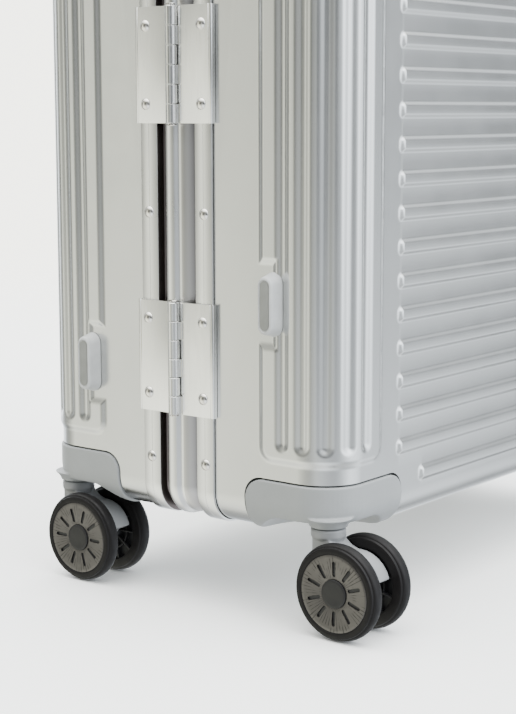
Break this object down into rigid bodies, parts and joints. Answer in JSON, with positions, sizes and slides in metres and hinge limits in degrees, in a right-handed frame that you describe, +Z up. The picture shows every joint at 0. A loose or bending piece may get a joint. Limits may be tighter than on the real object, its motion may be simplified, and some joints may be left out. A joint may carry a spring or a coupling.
{
  "type": "suitcase",
  "caption": "Cabin-size hard shell suitcase with a riveted metal frame, side hinges, latches, telescoping pull handle, folding carry handles and swivelling casters.",
  "frame": {"origin": "bottom centre of the whole case's bounding box, on the floor under it, with the casters trailing towards -Y", "axes": "+Z up; +X from the hinge side to the latch side; -Y is the front half's ribbed wide face and +Y the back half's, which holds the pull handle"},
  "size_m": [0.3838, 0.241, 0.5555],
  "materials": {
    "shell": "satin silver polycarbonate with fine metallic flake",
    "lining": "woven polyester lining",
    "frame": "satin anodised extrusion",
    "seal": "matt",
    "hinge_leaf": "satin",
    "polished_steel": "polished",
    "latch_metal": "satin",
    "handle_plastic": "fine moulded texture",
    "tube_aluminium": "satin anodised",
    "button_plastic": "fine moulded texture",
    "guard": "fine moulded texture",
    "caster_fork": "fine moulded texture",
    "tyre": "soft matt polyurethane tread with a metallic grey hub cover",
    "rest_foot": "matt"
  },
  "bodies": {
    "back_half": {"shell_back": "shell", "lining_back": "lining", "frame_back": "frame", "frame_seal": "seal", "hinge_lower_back_leaf": "hinge_leaf", "hinge_lower_pin": "polished_steel", "hinge_middle_back_leaf": "hinge_leaf", "hinge_middle_pin": "polished_steel", "hinge_upper_back_leaf": "hinge_leaf", "hinge_upper_pin": "polished_steel", "latch_lower_base": "latch_metal", "latch_upper_base": "latch_metal", "top_handle_bracket_left": "handle_plastic", "top_handle_bracket_right": "handle_plastic", "side_handle_bracket_upper": "handle_plastic", "side_handle_bracket_lower": "handle_plastic", "pull_handle_bezel": "handle_plastic", "pull_handle_outer_tube_left": "tube_aluminium", "pull_handle_outer_tube_right": "tube_aluminium", "corner_guard_back_left": "guard", "corner_guard_back_right": "guard", "rest_foot_back_lower": "rest_foot", "rest_foot_back_upper": "rest_foot"},
    "front_half": {"shell_front": "shell", "lining_front": "lining", "frame_front": "frame", "hinge_lower_front_leaf": "hinge_leaf", "hinge_middle_front_leaf": "hinge_leaf", "hinge_upper_front_leaf": "hinge_leaf", "latch_lower_keeper": "latch_metal", "latch_upper_keeper": "latch_metal", "corner_guard_front_left": "guard", "corner_guard_front_right": "guard", "rest_foot_front_lower": "rest_foot", "rest_foot_front_upper": "rest_foot"},
    "pull_handle": {"pull_handle_inner_tube_left": "tube_aluminium", "pull_handle_inner_tube_right": "tube_aluminium", "pull_handle_grip": "handle_plastic"},
    "pull_button": {"pull_handle_button": "button_plastic"},
    "latch_lower_lever": {"latch_lower_lever": "latch_metal"},
    "latch_upper_lever": {"latch_upper_lever": "latch_metal"},
    "top_handle": {"top_handle_grip": "handle_plastic"},
    "side_handle": {"side_handle_grip": "handle_plastic"},
    "caster_front_left": {"caster_front_left_fork": "caster_fork", "caster_front_left_axle": "polished_steel"},
    "caster_front_left_wheel_left": {"caster_front_left_wheel_left": "tyre"},
    "caster_front_left_wheel_right": {"caster_front_left_wheel_right": "tyre"},
    "caster_front_right": {"caster_front_right_fork": "caster_fork", "caster_front_right_axle": "polished_steel"},
    "caster_front_right_wheel_left": {"caster_front_right_wheel_left": "tyre"},
    "caster_front_right_wheel_right": {"caster_front_right_wheel_right": "tyre"},
    "caster_back_left": {"caster_back_left_fork": "caster_fork", "caster_back_left_axle": "polished_steel"},
    "caster_back_left_wheel_left": {"caster_back_left_wheel_left": "tyre"},
    "caster_back_left_wheel_right": {"caster_back_left_wheel_right": "tyre"},
    "caster_back_right": {"caster_back_right_fork": "caster_fork", "caster_back_right_axle": "polished_steel"},
    "caster_back_right_wheel_left": {"caster_back_right_wheel_left": "tyre"},
    "caster_back_right_wheel_right": {"caster_back_right_wheel_right": "tyre"}
  },
  "joints": [
    {"name": "lid_hinge", "type": "hinge", "parent": "back_half", "child": "front_half", "pos_m": [-0.18805, 0.01375, 0.2975], "axis": [0, 0, -1], "range_deg": [0, 170]},
    {"name": "pull_handle_slide", "type": "slide", "parent": "back_half", "child": "pull_handle", "axis": [0, 0, 1], "range_m": [0, 0.4]},
    {"name": "pull_button_press", "type": "slide", "parent": "pull_handle", "child": "pull_button", "axis": [0, 0, -1], "range_m": [0, 0.0025], "stiffness_N_per_m": 300},
    {"name": "latch_lower_pivot", "type": "hinge", "parent": "back_half", "child": "latch_lower_lever", "pos_m": [0.18935, 0.03625, 0.178], "axis": [0, 0, 1], "range_deg": [0, 80]},
    {"name": "latch_upper_pivot", "type": "hinge", "parent": "back_half", "child": "latch_upper_lever", "pos_m": [0.18935, 0.03625, 0.417], "axis": [0, 0, 1], "range_deg": [0, 80]},
    {"name": "top_handle_pivot", "type": "hinge", "parent": "back_half", "child": "top_handle", "pos_m": [-0.00105, 0.04475, 0.5515], "axis": [1, 0, 0], "range_deg": [0, 90]},
    {"name": "side_handle_pivot", "type": "hinge", "parent": "back_half", "child": "side_handle", "pos_m": [0.18695, 0.04475, 0.2975], "axis": [0, 0, -1], "range_deg": [0, 90]},
    {"name": "caster_front_left_swivel", "type": "hinge", "parent": "front_half", "child": "caster_front_left", "pos_m": [-0.17055, -0.07825, 0.05], "axis": [0, 0, 1], "continuous": true},
    {"name": "caster_front_left_spin_left", "type": "hinge", "parent": "caster_front_left", "child": "caster_front_left_wheel_left", "pos_m": [-0.17055, -0.09455, 0.026], "axis": [1, 0, 0], "continuous": true},
    {"name": "caster_front_left_spin_right", "type": "hinge", "parent": "caster_front_left", "child": "caster_front_left_wheel_right", "pos_m": [-0.17055, -0.09455, 0.026], "axis": [1, 0, 0], "continuous": true},
    {"name": "caster_front_right_swivel", "type": "hinge", "parent": "front_half", "child": "caster_front_right", "pos_m": [0.16845, -0.07825, 0.05], "axis": [0, 0, 1], "continuous": true},
    {"name": "caster_front_right_spin_left", "type": "hinge", "parent": "caster_front_right", "child": "caster_front_right_wheel_left", "pos_m": [0.16845, -0.09455, 0.026], "axis": [1, 0, 0], "continuous": true},
    {"name": "caster_front_right_spin_right", "type": "hinge", "parent": "caster_front_right", "child": "caster_front_right_wheel_right", "pos_m": [0.16845, -0.09455, 0.026], "axis": [1, 0, 0], "continuous": true},
    {"name": "caster_back_left_swivel", "type": "hinge", "parent": "back_half", "child": "caster_back_left", "pos_m": [-0.17055, 0.10575, 0.05], "axis": [0, 0, 1], "continuous": true},
    {"name": "caster_back_left_spin_left", "type": "hinge", "parent": "caster_back_left", "child": "caster_back_left_wheel_left", "pos_m": [-0.17055, 0.08945, 0.026], "axis": [1, 0, 0], "continuous": true},
    {"name": "caster_back_left_spin_right", "type": "hinge", "parent": "caster_back_left", "child": "caster_back_left_wheel_right", "pos_m": [-0.17055, 0.08945, 0.026], "axis": [1, 0, 0], "continuous": true},
    {"name": "caster_back_right_swivel", "type": "hinge", "parent": "back_half", "child": "caster_back_right", "pos_m": [0.16845, 0.10575, 0.05], "axis": [0, 0, 1], "continuous": true},
    {"name": "caster_back_right_spin_left", "type": "hinge", "parent": "caster_back_right", "child": "caster_back_right_wheel_left", "pos_m": [0.16845, 0.08945, 0.026], "axis": [1, 0, 0], "continuous": true},
    {"name": "caster_back_right_spin_right", "type": "hinge", "parent": "caster_back_right", "child": "caster_back_right_wheel_right", "pos_m": [0.16845, 0.08945, 0.026], "axis": [1, 0, 0], "continuous": true}
  ]
}
